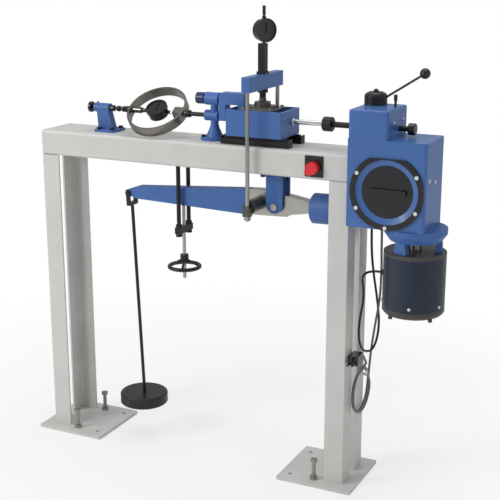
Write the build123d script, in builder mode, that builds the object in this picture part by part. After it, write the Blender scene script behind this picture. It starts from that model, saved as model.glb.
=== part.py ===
# %% [markdown]
# # Direct shear apparatus
# A bench machine that pulls a soil sample apart sideways while a lever presses it down. The frame
# stands on two floor plates. On its beam, from left to right, are the bracket that takes the pull,
# the proving ring that measures it, the guide post, the water container with the two half boxes,
# the loading ram and the gearbox with its motor. All sizes are in millimetres, X runs along the
# beam, the dial side faces -Y and Z is up. The origin is on the floor, in the middle of the frame.

# %%
import os
from math import atan2, cos, degrees, radians, sin, tan

from build123d import *

os.makedirs("parts", exist_ok=True)

# %% [markdown]
# ## Driving sizes
# The frame is read against its angle irons, which are the common 50 by 50 by 5 kind.

# %%
frame_half_x = 435.0
frame_half_y = 67.5
angle_leg = 50.0
angle_wall = 5.0
plate_size = 200.0
plate_thick = 8.0
plate_x = 367.3
beam_bottom = 780.0
beam_top = 845.0
beam_wall = 5.0
anchor_x = 294.0
anchor_y = 68.0
anchor_r = 6.0
train_z = 905.0
slide_fit = 0.1
yoke_x = 180.0
yoke_rod_y = 86.0
yoke_rod_r = 5.0
lever_pin_x = 223.0
lever_pin_z = 693.0
lever_tilt = 1.34
gear_x0 = 435.0
gear_front = -82.0
dial_x = 532.5
dial_z = 770.0
motor_x = 585.0
motor_y = -15.0
motor_r = 74.0
cord_r = 3.0

# %% [markdown]
# ## Small helpers
# Each one draws a sketch on the plane it names and extrudes it inside the sub-part that calls it.

# %%
def block(x0, x1, y0, y1, z0, z1, corner=0.0, mode=Mode.ADD):
    """A box between two corners, its upright edges rounded when a corner radius is given."""
    with BuildSketch(Plane.XY.offset(z0)) as outline:
        with Locations(((x0 + x1) / 2, (y0 + y1) / 2)):
            if corner:
                RectangleRounded(x1 - x0, y1 - y0, corner)
            else:
                Rectangle(x1 - x0, y1 - y0)
    extrude(outline.sketch, amount=z1 - z0, mode=mode)


def disc_x(x0, x1, r, y=0.0, z=train_z, sides=0, mode=Mode.ADD):
    """A cylinder or prism lying along X."""
    with BuildSketch(Plane.YZ.offset(x0)) as outline:
        with Locations((y, z)):
            if sides:
                RegularPolygon(r, sides)
            else:
                Circle(r)
    extrude(outline.sketch, amount=x1 - x0, mode=mode)


def disc_y(y0, y1, r, x, z, sides=0, mode=Mode.ADD):
    """A cylinder or prism lying along Y."""
    with BuildSketch(Plane.XZ.offset(-y0)) as outline:
        with Locations((x, z)):
            if sides:
                RegularPolygon(r, sides)
            else:
                Circle(r)
    extrude(outline.sketch, amount=y0 - y1, mode=mode)


def disc_z(z0, z1, r, x=0.0, y=0.0, sides=0, mode=Mode.ADD):
    """A cylinder or prism standing along Z."""
    with BuildSketch(Plane.XY.offset(z0)) as outline:
        with Locations((x, y)):
            if sides:
                RegularPolygon(r, sides)
            else:
                Circle(r)
    extrude(outline.sketch, amount=z1 - z0, mode=mode)


def slab_y(points, y0, y1, corner=0.0, mode=Mode.ADD):
    """An outline given in X and Z, extruded from y0 to y1."""
    with BuildSketch(Plane.XZ.offset(-y0)) as outline:
        Polygon(*points, align=None)
        if corner:
            fillet(outline.vertices(), radius=corner)
    extrude(outline.sketch, amount=y0 - y1, mode=mode)


def turned(plane, points):
    """An outline of radius and height, turned round the plane's own upright axis."""
    with BuildSketch(plane) as outline:
        Polygon(*points, align=None)
    revolve(outline.sketch, axis=Axis(plane.origin, plane.y_dir), revolution_arc=360)


def upright(x, y, z=0.0):
    """A plane whose second direction is straight up, to turn a shape about a vertical axis."""
    return Plane(origin=(x, y, z), x_dir=(1, 0, 0), z_dir=(0, -1, 0))


# %% [markdown]
# ## Frame
# Two floor plates, four angle legs with their corners outward, and the hollow beam on top.

# %%
with BuildPart() as base_plates:
    for side in (-1, 1):
        block(
            side * plate_x - plate_size / 2,
            side * plate_x + plate_size / 2,
            -plate_size / 2,
            plate_size / 2,
            0,
            plate_thick,
            corner=3.0,
        )
        for y in (-anchor_y, anchor_y):
            disc_z(-1, plate_thick + 1, anchor_r, side * anchor_x, y, mode=Mode.SUBTRACT)
        for y in (-69.5, 69.5):
            disc_z(-1, plate_thick + 1, 5.0 + slide_fit, side * 359.0, y, mode=Mode.SUBTRACT)

base_plates.part.label = "base_plates"
export_step(base_plates.part, "parts/base_plates.step")


# %%
def angle_iron(side_x, side_y):
    """One upright angle iron, its corner on the outside of the frame."""
    x = side_x * frame_half_x
    y = side_y * frame_half_y
    dx = -side_x
    dy = -side_y
    points = [
        (x, y),
        (x + dx * angle_leg, y),
        (x + dx * angle_leg, y + dy * angle_wall),
        (x + dx * angle_wall, y + dy * angle_wall),
        (x + dx * angle_wall, y + dy * angle_leg),
        (x, y + dy * angle_leg),
    ]
    with BuildSketch(Plane.XY.offset(plate_thick)) as section:
        Polygon(*points, align=None)
        heel = section.vertices().sort_by_distance((x + dx * 5, y + dy * 5, plate_thick))[0]
        fillet(heel, radius=5.0)
    extrude(section.sketch, amount=beam_bottom - plate_thick)


with BuildPart() as legs_left:
    angle_iron(-1, -1)
    angle_iron(-1, 1)

legs_left.part.label = "legs_left"
export_step(legs_left.part, "parts/legs_left.step")

with BuildPart() as legs_right:
    angle_iron(1, -1)
    angle_iron(1, 1)
    disc_x(frame_half_x, 458, 3.0, y=28, z=277 - 3)
    disc_x(456, 458, 8.0, y=28, z=277)

legs_right.part.label = "legs_right"
export_step(legs_right.part, "parts/legs_right.step")

# %% [markdown]
# The beam is a box section, open at its ends, with softly rounded long edges.

# %%
with BuildPart() as main_beam:
    with BuildSketch(Plane.YZ.offset(-frame_half_x)) as section:
        with Locations((0, (beam_bottom + beam_top) / 2)):
            RectangleRounded(2 * frame_half_y, beam_top - beam_bottom, 7.0)
            RectangleRounded(
                2 * (frame_half_y - beam_wall),
                beam_top - beam_bottom - 2 * beam_wall,
                3.0,
                mode=Mode.SUBTRACT,
            )
    extrude(amount=2 * frame_half_x)
    for x, y in ((-284.0, -22.0), (-284.0, 22.0), (-245.0, -22.0), (-245.0, 22.0)):
        disc_z(beam_top - 10, beam_top + 1, 4.0 + slide_fit, x, y, mode=Mode.SUBTRACT)
    for x, y in ((24.0, -17.0), (70.0, 17.0)):
        disc_z(beam_top - 10, beam_top + 1, 3.0 + slide_fit, x, y, mode=Mode.SUBTRACT)
    for x, y in ((193.0, -24.0), (193.0, 24.0), (253.0, -24.0), (253.0, 24.0)):
        disc_z(beam_bottom - 1, beam_bottom + 10, 4.0 + slide_fit, x, y, mode=Mode.SUBTRACT)
    for y in (-26.0, 26.0):
        disc_z(beam_bottom - 1, beam_bottom + 10, 5.5 + slide_fit, -46.0, y, mode=Mode.SUBTRACT)

main_beam.part.label = "main_beam"
export_step(main_beam.part, "parts/main_beam.step")

# %% [markdown]
# Levelling screws stand through the plates, each with its nut and its hexagon head.

# %%
with BuildPart() as levelling_screws:
    for x in (-359.0, 359.0):
        for y in (-69.5, 69.5):
            disc_z(0.5, 58, 5.0, x, y)
            disc_z(plate_thick, plate_thick + 8, 10.5, x, y, sides=6)
            disc_z(56, 63, 9.8, x, y, sides=6)

levelling_screws.part.label = "levelling_screws"
export_step(levelling_screws.part, "parts/levelling_screws.step")

# %% [markdown]
# ## Fixing bolts
# Hexagon bolts hold the bracket and the post on the beam, and the lever's bracket under it.

# %%
with BuildPart() as beam_bolts:
    for x, y in ((-284.0, -22.0), (-284.0, 22.0), (-245.0, -22.0), (-245.0, 22.0)):
        disc_z(beam_top - 8, 852, 4.0, x, y)
        disc_z(851, 856.5, 7.0, x, y, sides=6)
    for x, y in ((24.0, -17.0), (70.0, 17.0)):
        disc_z(beam_top - 8, 854, 3.0, x, y)
        disc_z(853, 858, 5.7, x, y, sides=6)
    for x, y in ((193.0, -24.0), (193.0, 24.0), (253.0, -24.0), (253.0, 24.0)):
        disc_z(771, beam_bottom + 8, 4.0, x, y)
        disc_z(766.5, 772, 7.0, x, y, sides=6)
    disc_z(912, 921, 2.0, -299.0, 0)

beam_bolts.part.label = "beam_bolts"
export_step(beam_bolts.part, "parts/beam_bolts.step")

# %% [markdown]
# ## Reaction bracket
# A casting with a foot, a leaning web and a bored boss for the ring's adjusting shaft.

# %%
with BuildPart() as reaction_bracket:
    block(-295, -235, -32, 32, beam_top, 851, corner=6.0)
    slab_y([(-293, 850), (-249, 850), (-262, 897), (-262, 913), (-297, 913), (-297, 897)], -11, 11)
    disc_x(-306, -261, 12.0)
    disc_x(-307, -260, 5.5 + slide_fit, mode=Mode.SUBTRACT)
    disc_z(912, 930, 2.0 + slide_fit, -299.0, 0, mode=Mode.SUBTRACT)
    for x, y in ((-284.0, -22.0), (-284.0, 22.0), (-245.0, -22.0), (-245.0, 22.0)):
        disc_z(840, 852, 4.0 + slide_fit, x, y, mode=Mode.SUBTRACT)

reaction_bracket.part.label = "reaction_bracket"
export_step(reaction_bracket.part, "parts/reaction_bracket.step")

# %% [markdown]
# The knob turns a sleeve, and the sleeve is the nut that draws the ring's screw in and out.

# %%
with BuildPart() as ring_knob:
    disc_x(-324, -316, 14.0)
    chamfer(ring_knob.edges().filter_by(GeomType.CIRCLE), length=1.0)
    disc_x(-316, -260.5, 5.5)
    disc_x(-260.5, -248, 8.0)
    disc_x(-306, -247, 4.0 + slide_fit, mode=Mode.SUBTRACT)

ring_knob.part.label = "ring_knob"
export_step(ring_knob.part, "parts/ring_knob.step")

with BuildPart() as ring_screw:
    disc_x(-294, -201, 4.0)
    disc_x(-238, -231, 8.0, sides=6)
    disc_x(-222, -215, 8.0, sides=6)
    disc_x(-211, -201, 9.0, sides=6)

ring_screw.part.label = "ring_screw"
export_step(ring_screw.part, "parts/ring_screw.step")

# %% [markdown]
# ## Proving ring
# The ring's plane holds the line of pull and leans back, so its gauge faces up and forward.

# %%
ring_x = -117.0
ring_r = 80.0
ring_wall = 5.5
ring_band = 25.0
ring_plane = Plane(origin=(ring_x, 0, train_z), x_dir=(1, 0, 0), z_dir=(0, -sin(radians(35)), cos(radians(35))))

with BuildPart() as proving_ring:
    with BuildSketch(ring_plane) as band:
        Circle(ring_r)
        Circle(ring_r - ring_wall, mode=Mode.SUBTRACT)
    extrude(amount=ring_band / 2, both=True)
    disc_x(-201, -194, 9.0)
    disc_x(-193, -165, 8.0)
    disc_x(-41, -33, 9.0)
    with BuildSketch(ring_plane) as anvil:
        with Locations((62, 0)):
            Rectangle(27, 22)
    extrude(amount=10, both=True)

proving_ring.part.label = "proving_ring"
export_step(proving_ring.part, "parts/proving_ring.step")

# %% [markdown]
# The dial gauge sits inside the ring on a stem from its left boss, with its plunger to the right.

# %%
gauge_face = 15.0

with BuildPart() as ring_gauge_body:
    with BuildSketch(ring_plane.offset(-10)):
        Circle(26.0)
    extrude(amount=20)
    with BuildSketch(ring_plane.offset(7)):
        Circle(28.5)
    extrude(amount=gauge_face - 7)
    with BuildSketch(ring_plane.offset(gauge_face - 2.5)):
        Circle(25.5)
    extrude(amount=4, mode=Mode.SUBTRACT)
    with BuildSketch(ring_plane.offset(gauge_face - 3)):
        Circle(2.0)
    extrude(amount=1.2)
    disc_x(ring_x - 48, ring_x - 20, 5.0)
    disc_x(ring_x + 20, ring_x + 36, 4.5)
    disc_x(ring_x + 10, ring_x + 40, 2.5 + slide_fit, mode=Mode.SUBTRACT)

ring_gauge_body.part.label = "ring_gauge_body"
export_step(ring_gauge_body.part, "parts/ring_gauge_body.step")

with BuildPart() as ring_gauge_spindle:
    disc_x(ring_x + 14, ring_x + 46.5, 2.5)
    disc_x(ring_x + 43, ring_x + 46.5, 4.0)

ring_gauge_spindle.part.label = "ring_gauge_spindle"
export_step(ring_gauge_spindle.part, "parts/ring_gauge_spindle.step")


# %%
def gauge_hand(plane, length, tail, lift):
    """A thin pointer on the gauge's own plane, with a round hub, lifted clear of the face."""
    with BuildSketch(plane.offset(lift)) as pointer:
        Polygon((-1.1, -tail), (1.1, -tail), (0.4, length), (-0.4, length), align=None)
        Circle(2.6)
    extrude(pointer.sketch, amount=0.8)


with BuildPart() as ring_gauge_hand:
    gauge_hand(ring_plane, 20.0, 7.0, gauge_face - 1.4)

ring_gauge_hand.part.label = "ring_gauge_hand"
export_step(ring_gauge_hand.part, "parts/ring_gauge_hand.step")

# %% [markdown]
# ## Guide post
# A round foot and a tapered stem carry two bosses: the push rod runs in the lower one and the
# upper guide rod, with its knurled knob, in the upper one.

# %%
post_x = 47.0
upper_z = 947.0

with BuildPart() as guide_post:
    disc_z(beam_top, 853, 35.0, post_x, 0)
    turned(upright(post_x, 0), [(0, 853), (22, 853), (12, 875), (10, 885), (10, upper_z), (0, upper_z)])
    disc_x(23, 60, 13.5)
    disc_x(25, 62, 16.0, z=upper_z)
    disc_x(22, 63, 5.5 + slide_fit, mode=Mode.SUBTRACT)
    disc_x(22, 63, 5.0 + slide_fit, z=upper_z, mode=Mode.SUBTRACT)
    for x, y in ((24.0, -17.0), (70.0, 17.0)):
        disc_z(840, 854, 3.0 + slide_fit, x, y, mode=Mode.SUBTRACT)

guide_post.part.label = "guide_post"
export_step(guide_post.part, "parts/guide_post.step")

with BuildPart() as push_rod:
    disc_x(-33, 66, 5.5)
    disc_x(-33, -22, 10.0, sides=6)

push_rod.part.label = "push_rod"
export_step(push_rod.part, "parts/push_rod.step")

with BuildPart() as guide_rod:
    disc_x(-1, 22, 14.5, z=upper_z)
    chamfer(guide_rod.edges().filter_by(GeomType.CIRCLE), length=1.2)
    disc_x(22, 74, 5.0, z=upper_z)

guide_rod.part.label = "guide_rod"
export_step(guide_rod.part, "parts/guide_rod.step")

# %% [markdown]
# The gooseneck reaches over the container's left wall and holds the upper half box.

# %%
with BuildPart() as gooseneck:
    slab_y(
        [(66, 895), (84, 895), (84, 926), (84, 936), (118, 936), (118, 908), (135, 908), (135, 965), (72, 965), (66, 957)],
        -14,
        14,
    )
    disc_x(65, 75, 5.0 + slide_fit, z=upper_z, mode=Mode.SUBTRACT)

gooseneck.part.label = "gooseneck"
export_step(gooseneck.part, "parts/gooseneck.step")

# %% [markdown]
# ## Container and shear box
# An open box rides on two rails. The lower half box is fixed in it and the upper one is held still
# by the gooseneck. Both have the same square opening, and the load pad fits down into it.

# %%
box_x0 = 105.0
box_x1 = 255.0
box_half_y = 55.0
cell_x = yoke_x
cell_half = 30.0

with BuildPart() as container:
    block(box_x0, box_x1, -box_half_y, box_half_y, 867, 931, corner=3.0)
    block(box_x0 + 6, box_x1 - 6, -box_half_y + 6, box_half_y - 6, 875, 932, mode=Mode.SUBTRACT)
    disc_x(box_x1 - 8, box_x1 + 1, 6.0, z=904, mode=Mode.SUBTRACT)

container.part.label = "container"
export_step(container.part, "parts/container.step")

with BuildPart() as lower_box:
    block(cell_x - 42, cell_x + 42, -42, 42, 875, 903)
    block(cell_x - cell_half, cell_x + cell_half, -cell_half, cell_half, 881, 904, mode=Mode.SUBTRACT)
    block(cell_x + 42, box_x1 - 6, -12, 12, 895, 903)

lower_box.part.label = "lower_box"
export_step(lower_box.part, "parts/lower_box.step")

with BuildPart() as upper_box:
    block(135, cell_x + 42, -42, 42, 903.5, 932)
    block(cell_x - cell_half, cell_x + cell_half, -cell_half, cell_half, 903, 933, mode=Mode.SUBTRACT)
    for x in (cell_x - 36, cell_x + 36):
        for y in (-36, 36):
            disc_z(932, 937, 4.5, x, y)

upper_box.part.label = "upper_box"
export_step(upper_box.part, "parts/upper_box.step")

with BuildPart() as load_pad:
    block(cell_x - 29.6, cell_x + 29.6, -29.6, 29.6, 908, 938)
    disc_z(938, 948, 20.0, cell_x, 0)
    disc_z(948, 956, 9.0, cell_x, 0)

load_pad.part.label = "load_pad"
export_step(load_pad.part, "parts/load_pad.step")

with BuildPart() as slide_rails:
    for y in (-38.0, 38.0):
        block(88, 272, y - 11, y + 11, beam_top, 859)
        block(88, 92, y - 11, y + 11, 859, 865)
        block(268, 272, y - 11, y + 11, 859, 865)
        block(96, 264, y - 5, y + 5, 859, 866.7)

slide_rails.part.label = "slide_rails"
export_step(slide_rails.part, "parts/slide_rails.step")

# %% [markdown]
# ## Loading ram
# The ram comes out of the gearbox and pushes the container. Its knurled wheel turns it by hand.

# %%
with BuildPart() as ram:
    disc_x(box_x1 - 6, 341, 6.0, z=904)
    disc_x(box_x1, 263, 10.0, z=904, sides=6)

ram.part.label = "ram"
export_step(ram.part, "parts/ram.step")

with BuildPart() as ram_wheel:
    disc_x(341.5, 365, 17.5, z=904)
    chamfer(ram_wheel.edges().filter_by(GeomType.CIRCLE), length=1.5)
    disc_x(365, gear_x0 + 30, 7.0, z=904)

ram_wheel.part.label = "ram_wheel"
export_step(ram_wheel.part, "parts/ram_wheel.step")

# %% [markdown]
# ## Gearbox
# A stepped casting with round upright corners, a dial recess in front and a well underneath.

# %%
with BuildPart() as gearbox_housing:
    with BuildSketch(Plane.XY.offset(681)):
        with Locations((529.5, -14.5)):
            RectangleRounded(189, 135, 8.0)
        with Locations((445, -14.5)):
            Rectangle(20, 135)
    extrude(amount=888 - 681)
    with BuildSketch(Plane.XY.offset(888)):
        with Locations((483, -14.5)):
            RectangleRounded(96, 135, 6.0)
    extrude(amount=955 - 888)
    fillet(gearbox_housing.edges().filter_by(Plane.XY).group_by(Axis.Z)[-1], radius=5.0)
    disc_y(gear_front, -70, 76.0, dial_x, dial_z, mode=Mode.SUBTRACT)
    disc_y(-71, -45, 8.0 + slide_fit, dial_x, dial_z, mode=Mode.SUBTRACT)
    block(510, 600, -40, 30, 681, 850, mode=Mode.SUBTRACT)
    disc_x(gear_x0, gear_x0 + 40, 7.0 + slide_fit, z=904, mode=Mode.SUBTRACT)
    disc_x(512, 531, 6.5 + slide_fit, z=906, mode=Mode.SUBTRACT)
    disc_z(945, 956, 10.0 + slide_fit, 463, 22, mode=Mode.SUBTRACT)
    disc_z(945, 956, 3.0 + slide_fit, 519, 0, mode=Mode.SUBTRACT)

gearbox_housing.part.label = "gearbox_housing"
export_step(gearbox_housing.part, "parts/gearbox_housing.step")

with BuildPart() as dial_ring:
    with BuildSketch(Plane.XZ.offset(-gear_front)):
        with Locations((dial_x, dial_z)):
            Circle(89.0)
        with Locations((dial_x, dial_z + 78 + 20)):
            Rectangle(200, 40, mode=Mode.SUBTRACT)
        with Locations((dial_x, dial_z)):
            Circle(76.0, mode=Mode.SUBTRACT)
    extrude(amount=5)
    for angle in (30, 150, 210, 270, 330):
        x = dial_x + 82.5 * cos(radians(angle))
        z = dial_z + 82.5 * sin(radians(angle))
        disc_y(-88, -81, 2.5 + slide_fit, x, z, mode=Mode.SUBTRACT)

dial_ring.part.label = "dial_ring"
export_step(dial_ring.part, "parts/dial_ring.step")

with BuildPart() as number_ring:
    face = Plane(origin=(dial_x, -70, dial_z), x_dir=(1, 0, 0), z_dir=(0, 0, 1))
    with BuildSketch(face) as section:
        Polygon((62 + slide_fit, 0), (76, 0), (76, -14), (62 + slide_fit, -9), align=None)
    revolve(axis=Axis((dial_x, -70, dial_z), (0, 1, 0)), revolution_arc=360)

number_ring.part.label = "number_ring"
export_step(number_ring.part, "parts/number_ring.step")

with BuildPart() as gear_dial:
    disc_y(-79, -70.5, 62.0, dial_x, dial_z)
    disc_y(-71, -47, 8.0, dial_x, dial_z)
    slab_y([(dial_x - 46, 763), (dial_x + 46, 763), (dial_x + 46, 777), (dial_x - 46, 777)], -86, -78, corner=5.0)

gear_dial.part.label = "gear_dial"
export_step(gear_dial.part, "parts/gear_dial.step")

# %% [markdown]
# White-headed screws on the gearbox, on the dial's retaining ring and on the motor.

# %%
with BuildPart() as white_screws:
    for angle in (30, 150, 210, 270, 330):
        x = dial_x + 82.5 * cos(radians(angle))
        z = dial_z + 82.5 * sin(radians(angle))
        disc_y(-89, -82, 2.5, x, z)
        disc_y(-90, -87, 4.5, x, z)
    for y, z in ((-60.0, 800.0), (-15.0, 790.0)):
        disc_x(624, 627, 4.5, y, z)
    for y, z in ((-45.0, 925.0), (20.0, 925.0)):
        disc_x(531, 533.5, 3.5, y, z)
    for angle in (-80, -20, 200):
        x = motor_x + motor_r * cos(radians(angle))
        y = motor_y + motor_r * sin(radians(angle))
        plane = Plane(origin=(x, y, 500), z_dir=(cos(radians(angle)), sin(radians(angle)), 0))
        with BuildSketch(plane):
            Circle(3.5)
        extrude(amount=2.5)

white_screws.part.label = "white_screws"
export_step(white_screws.part, "parts/white_screws.step")

# %% [markdown]
# On the gearbox's top are the breather and the gear change hub with its rod and ball.

# %%
hub_x = 463.0
hub_y = 22.0

with BuildPart() as oil_breather:
    disc_z(947, 969, 3.0, 519, 0)
    disc_z(969, 983, 4.2, 519, 0)

oil_breather.part.label = "oil_breather"
export_step(oil_breather.part, "parts/oil_breather.step")

with BuildPart() as clutch_lever:
    turned(
        upright(hub_x, hub_y),
        [(0, 955.3), (27, 955.3), (27, 976), (24, 981), (16, 985), (6, 985), (6, 989), (3, 991.5), (0, 991.5)],
    )
    disc_z(947, 956, 10.0, hub_x, hub_y)
    start = Vector(hub_x + 20, hub_y, 970)
    ball = Vector(580, hub_y, 1032)
    rod_plane = Plane(origin=start, z_dir=ball - start)
    with BuildSketch(rod_plane):
        Circle(2.75)
    extrude(amount=(ball - start).length)
    turned(
        Plane(origin=ball, x_dir=(1, 0, 0), z_dir=(0, -1, 0)),
        [(12.5 * cos(radians(a)), 12.5 * sin(radians(a))) for a in range(-90, 91, 18)],
    )

clutch_lever.part.label = "clutch_lever"
export_step(clutch_lever.part, "parts/clutch_lever.step")

with BuildPart() as side_knob:
    disc_x(553, 570, 14.0, z=906)
    chamfer(side_knob.edges().filter_by(GeomType.CIRCLE), length=1.5)
    disc_x(514, 553, 6.5, z=906)

side_knob.part.label = "side_knob"
export_step(side_knob.part, "parts/side_knob.step")

# %% [markdown]
# ## Motor
# It hangs under the gearbox on an adapter with three legs, and the coupling turns between them.

# %%
with BuildPart() as motor_adapter:
    turned(
        upright(motor_x, motor_y),
        [(22, 651), (62, 651), (motor_r, 668), (motor_r, 681), (22, 681)],
    )
    for angle in (-108, 12, 132):
        x = motor_x + 55 * cos(radians(angle))
        y = motor_y + 55 * sin(radians(angle))
        with BuildSketch(Plane.XY.offset(625)) as foot:
            with Locations(Location((x, y), angle)):
                Rectangle(16, 34)
        with BuildSketch(Plane.XY.offset(655)) as head:
            with Locations(Location((x, y), angle)):
                Rectangle(14, 24)
        loft([foot.sketch.face(), head.sketch.face()])

motor_adapter.part.label = "motor_adapter"
export_step(motor_adapter.part, "parts/motor_adapter.step")

with BuildPart() as motor_coupling:
    disc_z(626, 648, 15.0, motor_x, motor_y)
    disc_z(648, 650, 12.0, motor_x, motor_y)
    disc_z(650, 672, 15.0, motor_x, motor_y)
    disc_z(617, 627, 6.0, motor_x, motor_y)

motor_coupling.part.label = "motor_coupling"
export_step(motor_coupling.part, "parts/motor_coupling.step")

with BuildPart() as motor_shell:
    disc_z(488, 616, motor_r, motor_x, motor_y)

motor_shell.part.label = "motor_shell"
export_step(motor_shell.part, "parts/motor_shell.step")

with BuildPart() as motor_caps:
    turned(upright(motor_x, motor_y), [(0, 616), (motor_r, 616), (motor_r, 623), (71, 625), (0, 625)])
    turned(upright(motor_x, motor_y), [(0, 472), (68, 472), (motor_r, 479), (motor_r, 488), (0, 488)])
    for angle in (-125, -35, 55, 145):
        x = motor_x + 66 * cos(radians(angle))
        y = motor_y + 66 * sin(radians(angle))
        disc_z(465, 480, 5.0, x, y)
    disc_z(616, 626, 6.0 + slide_fit, motor_x, motor_y, mode=Mode.SUBTRACT)

motor_caps.part.label = "motor_caps"
export_step(motor_caps.part, "parts/motor_caps.step")

# %% [markdown]
# ## Switch
# A black plate on the beam's front carries the red rotary knob.

# %%
switch_x = 346.0
switch_z = 810.0

with BuildPart() as switch_plate:
    slab_y([(323, 787), (370, 787), (370, 838), (323, 838)], -69.5, -67.5, corner=2.0)
    disc_y(-70, -60, 4.0 + slide_fit, switch_x, switch_z, mode=Mode.SUBTRACT)

switch_plate.part.label = "switch_plate"
export_step(switch_plate.part, "parts/switch_plate.step")

with BuildPart() as switch_knob:
    disc_y(-86, -70, 15.0, switch_x, switch_z)
    nose = degrees(atan2(-1, -1))
    with BuildSketch(Plane.XZ.offset(70)):
        with Locations(Location((switch_x - 7, switch_z - 7), 45)):
            Rectangle(24, 16)
    extrude(amount=10)
    disc_y(-71, -67.6, 4.0, switch_x, switch_z)

switch_knob.part.label = "switch_knob"
export_step(switch_knob.part, "parts/switch_knob.step")

# %% [markdown]
# ## Yoke
# The cross bar sits over the shear box. Two long rods pass outside the beam and carry the lower
# bar, which goes through the lever.

# %%
with BuildPart() as yoke_crossbar:
    block(yoke_x - 11.5, yoke_x + 11.5, -96, 96, 979, 1015)
    chamfer(yoke_crossbar.edges().filter_by(Axis.Z), length=1.5)
    for y in (-yoke_rod_y, yoke_rod_y):
        disc_z(970, 1003, yoke_rod_r, yoke_x, y, mode=Mode.SUBTRACT)
    disc_z(970, 1003, 8.0, yoke_x, 0, mode=Mode.SUBTRACT)

yoke_crossbar.part.label = "yoke_crossbar"
export_step(yoke_crossbar.part, "parts/yoke_crossbar.step")

with BuildPart() as yoke_rods:
    for y in (-yoke_rod_y, yoke_rod_y):
        disc_z(666, 1003, yoke_rod_r, yoke_x, y)
        disc_z(669, 678, 9.5, yoke_x, y, sides=6)

yoke_rods.part.label = "yoke_rods"
export_step(yoke_rods.part, "parts/yoke_rods.step")

with BuildPart() as yoke_lower_bar:
    disc_y(-76, -17, 17.0, yoke_x, 698)
    disc_y(17, 76, 17.0, yoke_x, 698)
    disc_y(-80, 80, 10.0, yoke_x, 698)
    for y in (-yoke_rod_y, yoke_rod_y):
        block(yoke_x - 10, yoke_x + 10, y - 10, y + 10, 678, 702, corner=4.0)
        disc_z(677, 703, yoke_rod_r, yoke_x, y, mode=Mode.SUBTRACT)

yoke_lower_bar.part.label = "yoke_lower_bar"
export_step(yoke_lower_bar.part, "parts/yoke_lower_bar.step")

with BuildPart() as load_screw:
    disc_z(957.5, 1003, 8.0, yoke_x, 0)
    disc_z(970, 979, 14.0, yoke_x, 0, sides=6)

load_screw.part.label = "load_screw"
export_step(load_screw.part, "parts/load_screw.step")

# %% [markdown]
# ## Load gauge
# A pillar on the cross bar holds the large dial gauge, turned to the right and to the front.

# %%
gauge_x = 186.0
gauge_z = 1119.0
gauge_turn = 58.0
load_plane = Plane(
    origin=(gauge_x, 0, gauge_z),
    x_dir=(cos(radians(gauge_turn)), sin(radians(gauge_turn)), 0),
    z_dir=(sin(radians(gauge_turn)), -cos(radians(gauge_turn)), 0),
)

with BuildPart() as load_gauge_pillar:
    block(171, 189, -9, 9, 1021, 1088)
    block(168.5, 191.5, -11.5, 11.5, 1015, 1021)
    disc_z(1060, 1089, 4.0 + slide_fit, gauge_x - 3, 0, mode=Mode.SUBTRACT)

load_gauge_pillar.part.label = "load_gauge_pillar"
export_step(load_gauge_pillar.part, "parts/load_gauge_pillar.step")

with BuildPart() as load_gauge_body:
    with BuildSketch(load_plane.offset(-16)):
        Circle(26.0)
    extrude(amount=18)
    with BuildSketch(load_plane.offset(-1)):
        Circle(28.5)
    extrude(amount=8)
    with BuildSketch(load_plane.offset(5)):
        Circle(25.5)
    extrude(amount=4, mode=Mode.SUBTRACT)
    with BuildSketch(load_plane.offset(4)):
        Circle(2.0)
    extrude(amount=1.7)
    disc_z(1066, 1098, 4.0, gauge_x - 3, 0)
    disc_z(1140, 1152, 5.0, gauge_x - 3, 0)
    disc_z(1130, 1160, 3.0 + slide_fit, gauge_x - 3, 0, mode=Mode.SUBTRACT)

load_gauge_body.part.label = "load_gauge_body"
export_step(load_gauge_body.part, "parts/load_gauge_body.step")

with BuildPart() as load_gauge_spindle:
    disc_z(1134, 1170, 3.0, gauge_x - 3, 0)
    disc_z(1155, 1177, 4.0, gauge_x - 3, 0)

load_gauge_spindle.part.label = "load_gauge_spindle"
export_step(load_gauge_spindle.part, "parts/load_gauge_spindle.step")

with BuildPart() as load_gauge_hand:
    gauge_hand(load_plane, 20.0, 7.0, 6.0)

load_gauge_hand.part.label = "load_gauge_hand"
export_step(load_gauge_hand.part, "parts/load_gauge_hand.step")

# %% [markdown]
# ## Lever
# The blue arm reaches left to the weight hanger. Its machined head turns on the pin and is drawn
# down on the yoke's lower bar.

# %%
with BuildPart() as lever_arm:
    slab_y(
        [(-213, 682), (-179, 673), (130, 664), (151, 665), (151, 729), (-179, 705), (-213, 693)],
        -15,
        15,
        corner=1.5,
    )
    disc_y(-20, 20, 4.0 + slide_fit, -204, 686, mode=Mode.SUBTRACT)

lever_arm.part.label = "lever_arm"
export_step(lever_arm.part, "parts/lever_arm.step")

tilt_x = cos(radians(lever_tilt))
tilt_z = sin(radians(lever_tilt))
end_plane = Plane(
    origin=(312, 0, lever_pin_z + 89 * tan(radians(lever_tilt))), x_dir=(0, 1, 0), z_dir=(tilt_x, 0, tilt_z)
)

with BuildPart() as lever_head:
    slab_y(
        [(151, 665), (255, 669), (258, 674), (312, 683), (312, 712), (258, 721), (200, 724), (195, 731), (151, 729)],
        -15,
        15,
    )
    disc_y(-16, 16, 10.0 + 0.6, yoke_x, 698, mode=Mode.SUBTRACT)
    disc_y(-16, 16, 6.0 + slide_fit, lever_pin_x, lever_pin_z, mode=Mode.SUBTRACT)
    with BuildSketch(end_plane.offset(-2)):
        Circle(8.0)
    extrude(amount=62)

lever_head.part.label = "lever_head"
export_step(lever_head.part, "parts/lever_head.step")

with BuildPart() as counterweight:
    with BuildSketch(end_plane.offset(8)):
        Circle(37.5)
        Circle(8.0 + slide_fit, mode=Mode.SUBTRACT)
    extrude(amount=60)
    chamfer(counterweight.edges().filter_by(GeomType.CIRCLE).sort_by(SortBy.RADIUS)[-2:], length=2.0)

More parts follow.
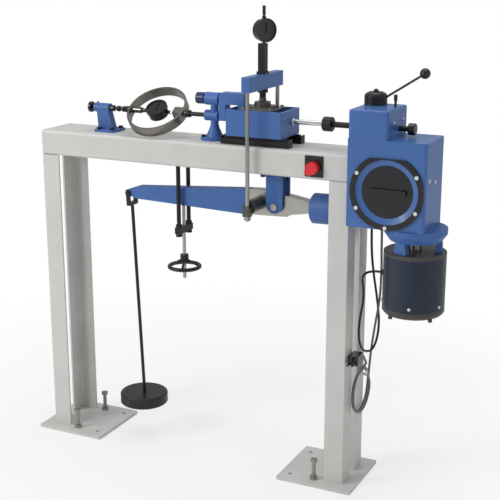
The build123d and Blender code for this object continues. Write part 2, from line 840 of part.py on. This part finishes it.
counterweight.part.label = "counterweight"
export_step(counterweight.part, "parts/counterweight.step")

with BuildPart() as fulcrum_bracket:
    block(186, 260, -32, 32, 772, beam_bottom, corner=4.0)
    for y0 in (-25.0, 19.0):
        slab_y([(201, 773), (245, 773), (245, 698), (201, 698)], y0, y0 + 6)
        disc_y(y0, y0 + 6, 22.0, lever_pin_x, 698)
    disc_y(-30, 30, 6.0, lever_pin_x, lever_pin_z, mode=Mode.SUBTRACT)
    for x, y in ((193.0, -24.0), (193.0, 24.0), (253.0, -24.0), (253.0, 24.0)):
        disc_z(765, 781, 4.0 + slide_fit, x, y, mode=Mode.SUBTRACT)

fulcrum_bracket.part.label = "fulcrum_bracket"
export_step(fulcrum_bracket.part, "parts/fulcrum_bracket.step")

with BuildPart() as fulcrum_pin:
    disc_y(-28, 28, 6.0, lever_pin_x, lever_pin_z)
    disc_y(-29, -25, 9.0, lever_pin_x, lever_pin_z)
    disc_y(25, 29, 9.0, lever_pin_x, lever_pin_z)

fulcrum_pin.part.label = "fulcrum_pin"
export_step(fulcrum_pin.part, "parts/fulcrum_pin.step")

# %% [markdown]
# ## Lever rest
# Two rods hang from the beam with a cross bar at their ends. The rest screw goes up through the
# bar and carries the lever while weights are put on. The handwheel turns it.

# %%
rest_x = -46.0

with BuildPart() as lever_rest:
    for y in (-26.0, 26.0):
        disc_z(588, beam_bottom + 8, 5.5, rest_x, y)
        disc_z(588, 596, 9.5, rest_x, y, sides=6)
        disc_z(612, 619, 9.5, rest_x, y, sides=6)
    block(rest_x - 8, rest_x + 8, -36, 36, 596, 612, corner=2.0)
    disc_z(590, 618, 4.5 + slide_fit, rest_x, 0, mode=Mode.SUBTRACT)

lever_rest.part.label = "lever_rest"
export_step(lever_rest.part, "parts/lever_rest.step")

with BuildPart() as rest_screw:
    disc_z(469, 666, 4.5, rest_x, 0)
    chamfer(rest_screw.edges().filter_by(GeomType.CIRCLE), length=1.5)

rest_screw.part.label = "rest_screw"
export_step(rest_screw.part, "parts/rest_screw.step")

with BuildPart() as rest_handwheel:
    disc_z(514, 534, 11.0, rest_x, 0)
    rim = Plane(origin=(rest_x, 0, 501), x_dir=(1, 0, 0), z_dir=(0, -1, 0))
    with BuildSketch(rim):
        with Locations((40, 0)):
            RegularPolygon(5.2, 10)
    revolve(axis=Axis((rest_x, 0, 501), (0, 0, 1)), revolution_arc=360)
    for angle in (20, 110, 200, 290):
        inner = Vector(rest_x + 8 * cos(radians(angle)), 8 * sin(radians(angle)), 519)
        outer = Vector(rest_x + 39 * cos(radians(angle)), 39 * sin(radians(angle)), 502)
        with BuildSketch(Plane(origin=inner, z_dir=outer - inner)):
            Circle(3.0)
        extrude(amount=(outer - inner).length)
    disc_z(510, 540, 4.5 + slide_fit, rest_x, 0, mode=Mode.SUBTRACT)

rest_handwheel.part.label = "rest_handwheel"
export_step(rest_handwheel.part, "parts/rest_handwheel.step")

# %% [markdown]
# ## Weight hanger
# It hangs from a pin in the lever's nose and ends in a round plate for slotted weights.

# %%
with BuildPart() as weight_hanger:
    disc_y(-20, 20, 4.0, -204, 686)
    disc_y(-21, -19.5, 6.5, -204, 686)
    disc_y(19.5, 21, 6.5, -204, 686)
    for y0 in (-19.5, 15.5):
        slab_y([(-210, 693), (-198, 693), (-196, 655), (-208, 655)], y0, y0 + 4)
    slab_y([(-208, 660), (-196, 660), (-196, 652), (-208, 652)], -19.5, 19.5)
    top = Vector(-202.5, 0, 656)
    low = Vector(-179.5, 0, 122)
    with BuildSketch(Plane(origin=top, z_dir=low - top)):
        Circle(4.4)
    extrude(amount=(low - top).length)
    turned(upright(-181, 0), [(0, 94), (62, 94), (65, 97), (65, 121), (62, 124), (0, 124)])

weight_hanger.part.label = "weight_hanger"
export_step(weight_hanger.part, "parts/weight_hanger.step")

# %% [markdown]
# ## Cords
# Each cord is a round tube along a line of straight runs joined by tangent arcs. The motor's lead
# is held at both ends. The mains cord goes down to its coil, and a short lead runs to the plug.


# %%
def bend_radii(points):
    """The radius of each bend, from its shorter run and from how far it turns."""
    radii = []
    for before, here, after in zip(points, points[1:], points[2:]):
        first = Vector(*here) - Vector(*before)
        second = Vector(*after) - Vector(*here)
        turn = radians(first.get_angle(second))
        radii.append(0.45 * min(first.length, second.length) / tan(turn / 2))
    return radii


def cord_tube(points):
    """A round tube along the points, its bends tangent to its straight runs."""
    radii = bend_radii(points)
    with BuildLine() as path:
        FilletPolyline(*points, radius=radii)
    route = path.wire()
    with BuildSketch(Plane(origin=route @ 0, z_dir=route % 0)) as section:
        Circle(cord_r)
    sweep(section.sketch, path=route)
    print("cord radii", [round(r) for r in radii], "length", round(route.length))


motor_lead_points = [
    (502, -15, 560),
    (450, -15, 560),
    (447, 28, 482),
    (446, -4, 424),
    (446, -4, 370),
    (446, 34, 330),
    (456, 84, 320),
    (460, 112, 376),
    (457, 94, 456),
    (456, 62, 532),
    (456, 40, 606),
    (456, 40, 673),
]
mains_points = [
    (484, 35, 673),
    (484, 35, 614),
    (478, 60, 540),
    (470, 78, 460),
    (456, 84, 382),
    (447, 84, 308),
    (446, 83, 238),
]
plug_lead_points = [
    (450, -10, 334),
    (450, 14, 334),
    (448, 45, 304),
    (446, 70, 266),
]

with BuildPart() as motor_lead:
    cord_tube(motor_lead_points)

motor_lead.part.label = "motor_lead"
export_step(motor_lead.part, "parts/motor_lead.step")

with BuildPart() as mains_cord:
    cord_tube(mains_points)
    cord_tube(plug_lead_points)

mains_cord.part.label = "mains_cord"
export_step(mains_cord.part, "parts/mains_cord.step")

# %% [markdown]
# The coil is one closed solid: three loops of cord lying against each other, hung on the right leg's peg.

# %%
coil_y = 28.0
coil_z = 230.0

with BuildPart() as mains_coil:
    for x, r in ((443.0, 54.0), (448.0, 56.5), (445.0, 59.0)):
        loop_plane = Plane(origin=(x, coil_y, coil_z), x_dir=(0, 1, 0), z_dir=(1, 0, 0))
        with BuildSketch(Plane(origin=(x, coil_y, coil_z), x_dir=(0, 1, 0), z_dir=(0, 0, 1))):
            with Locations((r, 0)):
                RegularPolygon(cord_r + 0.3, 8)
        revolve(axis=Axis((x, coil_y, coil_z), (1, 0, 0)), revolution_arc=360)

mains_coil.part.label = "mains_coil"
export_step(mains_coil.part, "parts/mains_coil.step")

with BuildPart() as mains_plug:
    block(437.5, 462, -52, -10, 323, 347, corner=5.0)
    for x, z in ((444, 330), (456, 330), (450, 341)):
        disc_y(-72, -51, 2.5, x, z)

mains_plug.part.label = "mains_plug"
export_step(mains_plug.part, "parts/mains_plug.step")

with BuildPart() as cord_gland:
    disc_z(673, 681, 7.0, 456, 40, sides=6)
    disc_z(673, 681, 7.0, 484, 35, sides=6)
    disc_x(502, 516, 7.0, y=-15, z=560, sides=6)

cord_gland.part.label = "cord_gland"
export_step(cord_gland.part, "parts/cord_gland.step")
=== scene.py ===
# %% [markdown]
# # Dressing a direct shear apparatus
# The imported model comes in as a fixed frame. This lesson gives it its camera, its light, a material
# for every piece, and its two cords at their real length.

# %%
import math

import bpy
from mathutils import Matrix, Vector


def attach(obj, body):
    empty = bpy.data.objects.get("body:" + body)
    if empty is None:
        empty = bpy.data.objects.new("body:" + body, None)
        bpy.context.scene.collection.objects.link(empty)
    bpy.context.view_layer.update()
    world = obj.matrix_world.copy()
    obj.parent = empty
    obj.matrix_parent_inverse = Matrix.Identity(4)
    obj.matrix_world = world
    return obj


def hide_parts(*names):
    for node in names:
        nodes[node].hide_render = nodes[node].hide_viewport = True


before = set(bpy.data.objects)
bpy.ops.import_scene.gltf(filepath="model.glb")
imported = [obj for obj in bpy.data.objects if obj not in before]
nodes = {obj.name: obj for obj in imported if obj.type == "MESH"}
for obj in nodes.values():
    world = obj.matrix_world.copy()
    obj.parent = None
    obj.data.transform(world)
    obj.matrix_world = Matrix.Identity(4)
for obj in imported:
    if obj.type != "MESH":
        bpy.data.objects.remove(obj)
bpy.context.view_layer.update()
scene = bpy.context.scene
print("nodes", len(nodes))

# %% [markdown]
# ## Camera
# The camera stands to the right of the front and a little above the beam, as the photograph's did.

# %%
camera_place = (1.3314, -2.4348, 1.3077)
camera_look = (-0.4224, 0.8672, -0.2635)

camera_data = bpy.data.cameras.new("camera")
camera = bpy.data.objects.new("camera", camera_data)
scene.collection.objects.link(camera)
camera.location = camera_place
camera.rotation_euler = Vector(camera_look).to_track_quat("-Z", "Y").to_euler()
camera_data.sensor_width = 36.0
camera_data.lens = 79.45
scene.camera = camera

# %% [markdown]
# ## Light
# One large soft lamp stands at the front left, one hangs overhead, and a weak cool one stands at the
# right. The world shows white to the camera, also through clear things, and is a dimmer, slightly
# blue fill for all other rays.

# %%
fill_colour = (0.95, 0.97, 1.0, 1.0)
fill_strength = 0.47
white_light = (1.0, 1.0, 1.0, 1.0)

scene.view_settings.view_transform = "Standard"
world = bpy.data.worlds.new("studio")
scene.world = world
world.use_nodes = True
tree = world.node_tree
tree.nodes.clear()
rays = tree.nodes.new("ShaderNodeLightPath")
either = tree.nodes.new("ShaderNodeMath")
either.operation = "MAXIMUM"
shown = tree.nodes.new("ShaderNodeBackground")
shown.inputs["Color"].default_value = white_light
shown.inputs["Strength"].default_value = 1.0
fill = tree.nodes.new("ShaderNodeBackground")
fill.inputs["Color"].default_value = fill_colour
fill.inputs["Strength"].default_value = fill_strength
mix = tree.nodes.new("ShaderNodeMixShader")
world_out = tree.nodes.new("ShaderNodeOutputWorld")
tree.links.new(rays.outputs["Is Camera Ray"], either.inputs[0])
tree.links.new(rays.outputs["Is Transmission Ray"], either.inputs[1])
tree.links.new(either.outputs[0], mix.inputs["Fac"])
tree.links.new(fill.outputs[0], mix.inputs[1])
tree.links.new(shown.outputs[0], mix.inputs[2])
tree.links.new(mix.outputs[0], world_out.inputs["Surface"])


def area_lamp(name, place, target, size, power, tint=(1.0, 1.0, 1.0)):
    """A square soft lamp that faces a point."""
    lamp = bpy.data.lights.new(name, "AREA")
    lamp.size = size
    lamp.energy = power
    lamp.color = tint
    holder = bpy.data.objects.new(name, lamp)
    scene.collection.objects.link(holder)
    holder.location = place
    holder.rotation_euler = (Vector(target) - Vector(place)).to_track_quat("-Z", "Y").to_euler()


area_lamp("key", (-2.4, -2.7, 2.4), (0.1, 0, 0.7), size=1.6, power=74, tint=(1.0, 0.99, 0.97))
area_lamp("top", (0.2, 0.2, 3.4), (0.1, 0, 0.8), size=2.4, power=34)
area_lamp("right", (3.4, -0.6, 1.2), (0.3, 0, 0.7), size=1.4, power=5, tint=(0.9, 0.95, 1.0))

# %% [markdown]
# ## Material workshop
# Each material is built from the same few parts: a noise in the object's own coordinates that
# shifts colour and roughness, a fine bump, and a worn edge found with the Bevel node.


# %%
def linear(r, g, b):
    """A colour given as it looks on screen, from 0 to 255, turned into light values."""
    out = []
    for c in (r, g, b):
        c = c / 255
        out.append(c / 12.92 if c <= 0.04045 else ((c + 0.055) / 1.055) ** 2.4)
    return (out[0], out[1], out[2], 1.0)


def new_group(name, inputs, outputs):
    """An empty node group with its sockets."""
    group = bpy.data.node_groups.new(name, "ShaderNodeTree")
    for label, kind, value in inputs:
        socket = group.interface.new_socket(name=label, in_out="INPUT", socket_type=kind)
        socket.default_value = value
    for label, kind in outputs:
        group.interface.new_socket(name=label, in_out="OUTPUT", socket_type=kind)
    return group, group.nodes.new("NodeGroupInput"), group.nodes.new("NodeGroupOutput")


def noise_node(tree, vector, scale, detail, rough):
    """A noise texture fed with the given coordinates."""
    noise = tree.nodes.new("ShaderNodeTexNoise")
    noise.inputs["Scale"].default_value = scale
    noise.inputs["Detail"].default_value = detail
    noise.inputs["Roughness"].default_value = rough
    tree.links.new(vector, noise.inputs["Vector"])
    return noise


def ramp_node(tree, value, low, high):
    """Stretches the range between low and high to the whole of 0 to 1."""
    ramp = tree.nodes.new("ShaderNodeMapRange")
    ramp.inputs["From Min"].default_value = low
    ramp.inputs["From Max"].default_value = high
    tree.links.new(value, ramp.inputs["Value"])
    return ramp.outputs["Result"]


def product_node(tree, value):
    """Multiplies a value by the second input, which the caller sets or links."""
    times = tree.nodes.new("ShaderNodeMath")
    times.operation = "MULTIPLY"
    tree.links.new(value, times.inputs[0])
    return times


def colour_mix(tree, below, above, factor):
    """Lays a colour over another by a factor. Each colour is a value or another node's socket."""
    node = tree.nodes.new("ShaderNodeMix")
    node.data_type = "RGBA"
    for label, colour in (("A", below), ("B", above)):
        if isinstance(colour, tuple):
            node.inputs[label].default_value = colour
        else:
            tree.links.new(colour, node.inputs[label])
    tree.links.new(factor, node.inputs["Factor"])
    return node.outputs["Result"]


# %% [markdown]
# An edge is where the Bevel node's rounded normal leaves the real one. A noise breaks it into patches.

# %%
edge_width = 0.002
edge_flat = 0.985
edge_turned = 0.80

edge_group, edge_in, edge_out = new_group(
    "Worn Edge",
    [("Width", "NodeSocketFloat", edge_width), ("Vector", "NodeSocketVector", (0, 0, 0))],
    [("Mask", "NodeSocketFloat")],
)
bevel = edge_group.nodes.new("ShaderNodeBevel")
bevel.samples = 4
geometry = edge_group.nodes.new("ShaderNodeNewGeometry")
dot = edge_group.nodes.new("ShaderNodeVectorMath")
dot.operation = "DOT_PRODUCT"
edge_group.links.new(edge_in.outputs["Width"], bevel.inputs["Radius"])
edge_group.links.new(bevel.outputs["Normal"], dot.inputs[0])
edge_group.links.new(geometry.outputs["Normal"], dot.inputs[1])
sharp = ramp_node(edge_group, dot.outputs["Value"], edge_flat, edge_turned)
patches = noise_node(edge_group, edge_in.outputs["Vector"], scale=55.0, detail=5.0, rough=0.7)
broken = ramp_node(edge_group, patches.outputs["Fac"], 0.45, 0.62)
edge_mask = product_node(edge_group, sharp)
edge_group.links.new(broken, edge_mask.inputs[1])
edge_group.links.new(edge_mask.outputs[0], edge_out.inputs["Mask"])

# %% [markdown]
# The grain gives three noises: a fine one for the bump, a broad one for the colour, and specks for
# dust and gloss. Stretch squeezes the fine one into brush lines.

# %%
grain_group, grain_in, grain_out = new_group(
    "Surface Grain",
    [
        ("Vector", "NodeSocketVector", (0, 0, 0)),
        ("Scale", "NodeSocketFloat", 400.0),
        ("Stretch", "NodeSocketVector", (1, 1, 1)),
    ],
    [("Fine", "NodeSocketFloat"), ("Broad", "NodeSocketFloat"), ("Specks", "NodeSocketFloat")],
)
stretch = grain_group.nodes.new("ShaderNodeVectorMath")
stretch.operation = "MULTIPLY"
grain_group.links.new(grain_in.outputs["Vector"], stretch.inputs[0])
grain_group.links.new(grain_in.outputs["Stretch"], stretch.inputs[1])
fine = noise_node(grain_group, stretch.outputs["Vector"], scale=400.0, detail=3.0, rough=0.6)
grain_group.links.new(grain_in.outputs["Scale"], fine.inputs["Scale"])
broad = noise_node(grain_group, grain_in.outputs["Vector"], scale=9.0, detail=4.0, rough=0.6)
specks = noise_node(grain_group, grain_in.outputs["Vector"], scale=130.0, detail=6.0, rough=0.75)
grain_group.links.new(fine.outputs["Fac"], grain_out.inputs["Fine"])
grain_group.links.new(broad.outputs["Fac"], grain_out.inputs["Broad"])
grain_group.links.new(specks.outputs["Fac"], grain_out.inputs["Specks"])

# %% [markdown]
# A surface puts the two groups together. Shade is how far its colour strays to either side.

# %%
smoother = 0.08
rougher = 0.10
smoothest = 0.04
bump_strength = 0.6


def surface(
    name,
    colour,
    rough,
    metal=0.0,
    scale=400.0,
    bump=0.0002,
    shade=0.12,
    stretch_by=(1, 1, 1),
    wear=0.0,
    wear_colour=(150, 150, 150),
    dirt=0.0,
    dirt_colour=(90, 84, 70),
    coat=0.0,
):
    """A material with uneven colour, uneven gloss, fine bump, dust and worn edges."""
    material = bpy.data.materials.new(name)
    material.use_nodes = True
    tree = material.node_tree
    shader = tree.nodes["Principled BSDF"]
    place = tree.nodes.new("ShaderNodeTexCoord")
    grain = tree.nodes.new("ShaderNodeGroup")
    grain.node_tree = grain_group
    grain.inputs["Scale"].default_value = scale
    grain.inputs["Stretch"].default_value = stretch_by
    tree.links.new(place.outputs["Object"], grain.inputs["Vector"])

    base = linear(*colour)
    dark = (base[0] * (1 - shade), base[1] * (1 - shade), base[2] * (1 - shade), 1.0)
    light = tuple(min(1.0, c * (1 + shade)) for c in base[:3]) + (1.0,)
    colour_out = colour_mix(tree, dark, light, ramp_node(tree, grain.outputs["Broad"], 0.3, 0.7))

    if dirt:
        marks = product_node(tree, ramp_node(tree, grain.outputs["Specks"], 0.55, 0.75))
        marks.inputs[1].default_value = dirt
        colour_out = colour_mix(tree, colour_out, linear(*dirt_colour), marks.outputs[0])

    if wear:
        edge = tree.nodes.new("ShaderNodeGroup")
        edge.node_tree = edge_group
        tree.links.new(place.outputs["Object"], edge.inputs["Vector"])
        amount = product_node(tree, edge.outputs["Mask"])
        amount.inputs[1].default_value = wear
        colour_out = colour_mix(tree, colour_out, linear(*wear_colour), amount.outputs[0])

    gloss = tree.nodes.new("ShaderNodeMapRange")
    gloss.inputs["To Min"].default_value = max(smoothest, rough - smoother)
    gloss.inputs["To Max"].default_value = min(1.0, rough + rougher)
    tree.links.new(grain.outputs["Specks"], gloss.inputs["Value"])
    relief = tree.nodes.new("ShaderNodeBump")
    relief.inputs["Strength"].default_value = bump_strength
    relief.inputs["Distance"].default_value = bump
    tree.links.new(grain.outputs["Fine"], relief.inputs["Height"])
    tree.links.new(relief.outputs["Normal"], shader.inputs["Normal"])
    tree.links.new(colour_out, shader.inputs["Base Color"])
    tree.links.new(gloss.outputs["Result"], shader.inputs["Roughness"])
    shader.inputs["Metallic"].default_value = metal
    shader.inputs["Coat Weight"].default_value = coat
    return material


# %% [markdown]
# ## Palette
# The paints are slightly uneven, the steels are brushed along their length, and the plastics carry
# a fine moulding grain. Bump is in metres.

# %%
paint = {}


def add_paint(name, colour, rough, **options):
    """Makes a surface and keeps it under its name."""
    paint[name] = surface(name, colour, rough, **options)


# %% [markdown]
# Paints and castings.

# %%
add_paint(
    "frame_paint", (204, 204, 200), 0.42,
    scale=260, bump=0.00025, shade=0.05, wear=0.35, wear_colour=(150, 148, 140), dirt=0.10,
)
add_paint(
    "blue_paint", (62, 104, 168), 0.34,
    scale=320, bump=0.0003, shade=0.08, wear=0.25, wear_colour=(96, 132, 190),
    dirt=0.06, dirt_colour=(30, 50, 90), coat=0.15,
)
add_paint(
    "blue_cast", (60, 100, 164), 0.42,
    scale=520, bump=0.0006, wear=0.35, wear_colour=(110, 140, 186), dirt=0.12, dirt_colour=(26, 40, 70),
)
add_paint(
    "navy_paint", (6, 28, 50), 0.36,
    scale=300, bump=0.0003, shade=0.15, wear=0.2, wear_colour=(70, 80, 120), coat=0.1,
)
add_paint(
    "grey_paint", (66, 63, 60), 0.40,
    scale=420, bump=0.0005, wear=0.3, wear_colour=(190, 190, 188),
)
add_paint(
    "black_cast", (17, 17, 18), 0.34,
    scale=600, bump=0.0005, shade=0.2, wear=0.15, wear_colour=(70, 70, 70),
)

# %% [markdown]
# Metals.

# %%
add_paint(
    "black_oxide", (30, 30, 30), 0.36,
    metal=0.35, scale=500, shade=0.25, wear=0.35, wear_colour=(110, 108, 104),
)
add_paint(
    "steel", (176, 174, 168), 0.30,
    metal=1.0, scale=700, bump=0.00012, shade=0.16, stretch_by=(0.06, 1, 1),
    dirt=0.15, dirt_colour=(70, 62, 50),
)
add_paint(
    "ring_steel", (134, 131, 124), 0.26,
    metal=1.0, scale=600, bump=0.00012, shade=0.22, stretch_by=(1, 0.1, 0.1),
    dirt=0.25, dirt_colour=(52, 46, 38),
)
add_paint(
    "dark_steel", (98, 96, 90), 0.34,
    metal=0.9, scale=700, bump=0.0003, shade=0.25, dirt=0.3, dirt_colour=(40, 36, 30),
)
add_paint("chrome", (222, 222, 222), 0.08, metal=1.0, scale=300, bump=0.00003, shade=0.05)
add_paint(
    "zinc", (158, 156, 150), 0.36,
    metal=0.9, scale=500, bump=0.0003, shade=0.2, dirt=0.3, dirt_colour=(80, 76, 66),
)
add_paint("white_screw", (226, 228, 230), 0.3, metal=0.35, scale=700, bump=0.0001, shade=0.05)

# %% [markdown]
# Plastics, gauges, cords and the floor.

# %%
add_paint("black_plastic", (14, 14, 15), 0.26, scale=700, shade=0.2, coat=0.25)
add_paint("dark_blue_plastic", (22, 34, 84), 0.3, scale=600, shade=0.2, coat=0.2)
add_paint("red_plastic", (222, 26, 38), 0.28, scale=700, bump=0.0001, shade=0.06, coat=0.4)
add_paint("dial_black", (18, 18, 22), 0.30, scale=600, shade=0.2, coat=0.15)
add_paint("gauge_body", (24, 24, 26), 0.28, metal=0.2, scale=600, bump=0.0001, shade=0.2, coat=0.2)
add_paint("hand", (16, 16, 16), 0.4, scale=600, bump=0.00005, shade=0.1)
add_paint("black_cord", (16, 16, 17), 0.45, scale=500, shade=0.15)
add_paint("grey_cord", (112, 116, 112), 0.5, scale=500, shade=0.15, dirt=0.2, dirt_colour=(60, 62, 58))
add_paint("floor", (244, 244, 242), 0.7, scale=60, bump=0.0001, shade=0.01)


# %% [markdown]
# Which piece is made of what.


# %%
def paint_node(node, name):
    """Puts one material on all of a node's slots."""
    item = nodes[node]
    if not item.data.materials:
        item.data.materials.append(paint[name])
    for slot in item.material_slots:
        slot.material = paint[name]


node_paint = {
    "frame_paint": ["base_plates", "legs_left", "legs_right", "main_beam"],
    "blue_paint": ["container", "gearbox_housing", "gooseneck", "yoke_crossbar", "number_ring"],
    "blue_cast": [
        "reaction_bracket", "guide_post", "lever_arm", "fulcrum_bracket", "counterweight", "motor_adapter",
    ],
    "navy_paint": ["motor_shell"],
    "grey_paint": ["motor_caps"],
    "black_oxide": [
        "beam_bolts", "ring_screw", "push_rod", "slide_rails", "ram_wheel", "load_screw", "lever_rest",
        "load_gauge_pillar",
    ],
    "black_cast": ["weight_hanger", "rest_handwheel", "clutch_lever"],
    "steel": [
        "lower_box", "upper_box", "yoke_rods", "motor_coupling", "lever_head", "fulcrum_pin", "rest_screw",
    ],
    "dark_steel": ["load_pad", "yoke_lower_bar"],
    "ring_steel": ["proving_ring"],
    "chrome": ["ring_gauge_spindle", "ram"],
    "zinc": ["levelling_screws"],
    "black_plastic": [
        "ring_knob", "oil_breather", "side_knob", "switch_plate", "load_gauge_spindle", "mains_plug",
        "cord_gland",
    ],
    "dark_blue_plastic": ["guide_rod"],
    "red_plastic": ["switch_knob"],
    "white_screw": ["white_screws"],
    "dial_black": ["dial_ring", "gear_dial"],
    "gauge_body": ["ring_gauge_body", "load_gauge_body"],
    "hand": ["ring_gauge_hand", "load_gauge_hand"],
    "black_cord": ["motor_lead"],
    "grey_cord": ["mains_cord", "mains_coil"],
}
for name, group in node_paint.items():
    for node in group:
        paint_node(node, name)
print("painted", sum(len(group) for group in node_paint.values()), "nodes")


# %% [markdown]
# ## Cords
# A cord is a round tube along a smooth curve in the row frame, in metres, and rides on the body that
# it belongs to. The motor's black lead hangs in a loop by the leg. The grey mains cord drops to a
# loose coil on the peg, goes round it almost three times, and ends in its plug.


# %%
def tube_along(name, points, radius, material, body):
    """A round tube along a smooth spline with the given control points."""
    curve = bpy.data.curves.new(name, "CURVE")
    curve.dimensions = "3D"
    curve.resolution_u = 8
    curve.bevel_depth = radius
    curve.bevel_resolution = 4
    curve.use_fill_caps = True
    spline = curve.splines.new("NURBS")
    spline.points.add(len(points) - 1)
    for point, place in zip(spline.points, points):
        point.co = (place[0], place[1], place[2], 1.0)
    spline.order_u = 3
    spline.use_endpoint_u = True
    curve.materials.append(paint[material])
    piece = bpy.data.objects.new(name, curve)
    scene.collection.objects.link(piece)
    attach(piece, body)
    return piece


cord_radius = 0.003
lead_route = [
    (0.502, -0.015, 0.560),
    (0.450, -0.015, 0.560),
    (0.447, 0.028, 0.482),
    (0.446, -0.004, 0.424),
    (0.446, -0.004, 0.370),
    (0.446, 0.034, 0.330),
    (0.456, 0.084, 0.320),
    (0.460, 0.112, 0.376),
    (0.457, 0.094, 0.456),
    (0.456, 0.062, 0.532),
    (0.456, 0.040, 0.606),
    (0.456, 0.040, 0.673),
]
lead = tube_along("motor_lead_line", lead_route, cord_radius, "black_cord", "frame")
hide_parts("motor_lead")

# %% [markdown]
# The coil lies in a plane of constant x. Its loops differ a little in size, lie beside each other
# in turn, and waver slightly.

# %%
mains_drop = [
    (0.484, 0.035, 0.673),
    (0.484, 0.035, 0.614),
    (0.478, 0.060, 0.540),
    (0.470, 0.078, 0.460),
    (0.456, 0.084, 0.382),
    (0.447, 0.084, 0.308),
]
plug_lead = [
    (0.4455, 0.062, 0.2890),
    (0.4480, 0.042, 0.3060),
    (0.4500, 0.014, 0.3340),
    (0.4500, -0.010, 0.3340),
]
coil_x = 0.4425
coil_y = 0.028
coil_z = 0.230
loop_radii = (0.0555, 0.0585, 0.0565)
beside = 0.0032
waver = 0.0014
waver_rate = 0.37
steps_per_turn = 14
steps_left_off = 3

coil_route = []
for i in range(len(loop_radii) * steps_per_turn - steps_left_off):
    angle = 2 * math.pi * i / steps_per_turn
    loop = i / steps_per_turn
    reach = loop_radii[int(loop)]
    x = coil_x + beside * (int(loop) % 2) + waver * math.sin(2 * math.pi * loop * waver_rate)
    coil_route.append((x, coil_y + reach * math.cos(angle), coil_z - reach * math.sin(angle)))
mains_route = mains_drop + coil_route + plug_lead

mains = tube_along("mains_cord_line", mains_route, cord_radius, "grey_cord", "frame")
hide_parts("mains_cord", "mains_coil")
print("cords", len(lead_route), len(mains_route), "points")

# %% [markdown]
# ## Floor
# The floor takes the machine's shadow. The camera sees it part lit and part plain white, and all
# white further out, so that it meets the white world with no line.

# %%
floor_reach = 9.0
white_share_near = 0.62
white_starts = 0.5
all_white = 1.5

floor_mesh = bpy.data.meshes.new("floor")
corners = [(-1, -1), (1, -1), (1, 1), (-1, 1)]
floor_mesh.from_pydata([(x * floor_reach, y * floor_reach, 0) for x, y in corners], [], [(0, 1, 2, 3)])
floor = bpy.data.objects.new("floor", floor_mesh)
scene.collection.objects.link(floor)
floor_mesh.materials.append(paint["floor"])

floor_tree = paint["floor"].node_tree
spot = floor_tree.nodes.new("ShaderNodeTexCoord")
away = floor_tree.nodes.new("ShaderNodeVectorMath")
away.operation = "LENGTH"
floor_tree.links.new(spot.outputs["Object"], away.inputs[0])
fade = floor_tree.nodes.new("ShaderNodeMapRange")
fade.inputs["From Min"].default_value = white_starts
fade.inputs["From Max"].default_value = all_white
fade.inputs["To Min"].default_value = white_share_near
floor_tree.links.new(away.outputs["Value"], fade.inputs["Value"])
seen = floor_tree.nodes.new("ShaderNodeLightPath")
share = product_node(floor_tree, fade.outputs["Result"])
floor_tree.links.new(seen.outputs["Is Camera Ray"], share.inputs[1])
white = floor_tree.nodes.new("ShaderNodeEmission")
white.inputs["Color"].default_value = white_light
white.inputs["Strength"].default_value = 1.0
blend = floor_tree.nodes.new("ShaderNodeMixShader")
floor_tree.links.new(share.outputs[0], blend.inputs["Fac"])
floor_tree.links.new(floor_tree.nodes["Principled BSDF"].outputs[0], blend.inputs[1])
floor_tree.links.new(white.outputs[0], blend.inputs[2])
floor_tree.links.new(blend.outputs[0], floor_tree.nodes["Material Output"].inputs["Surface"])
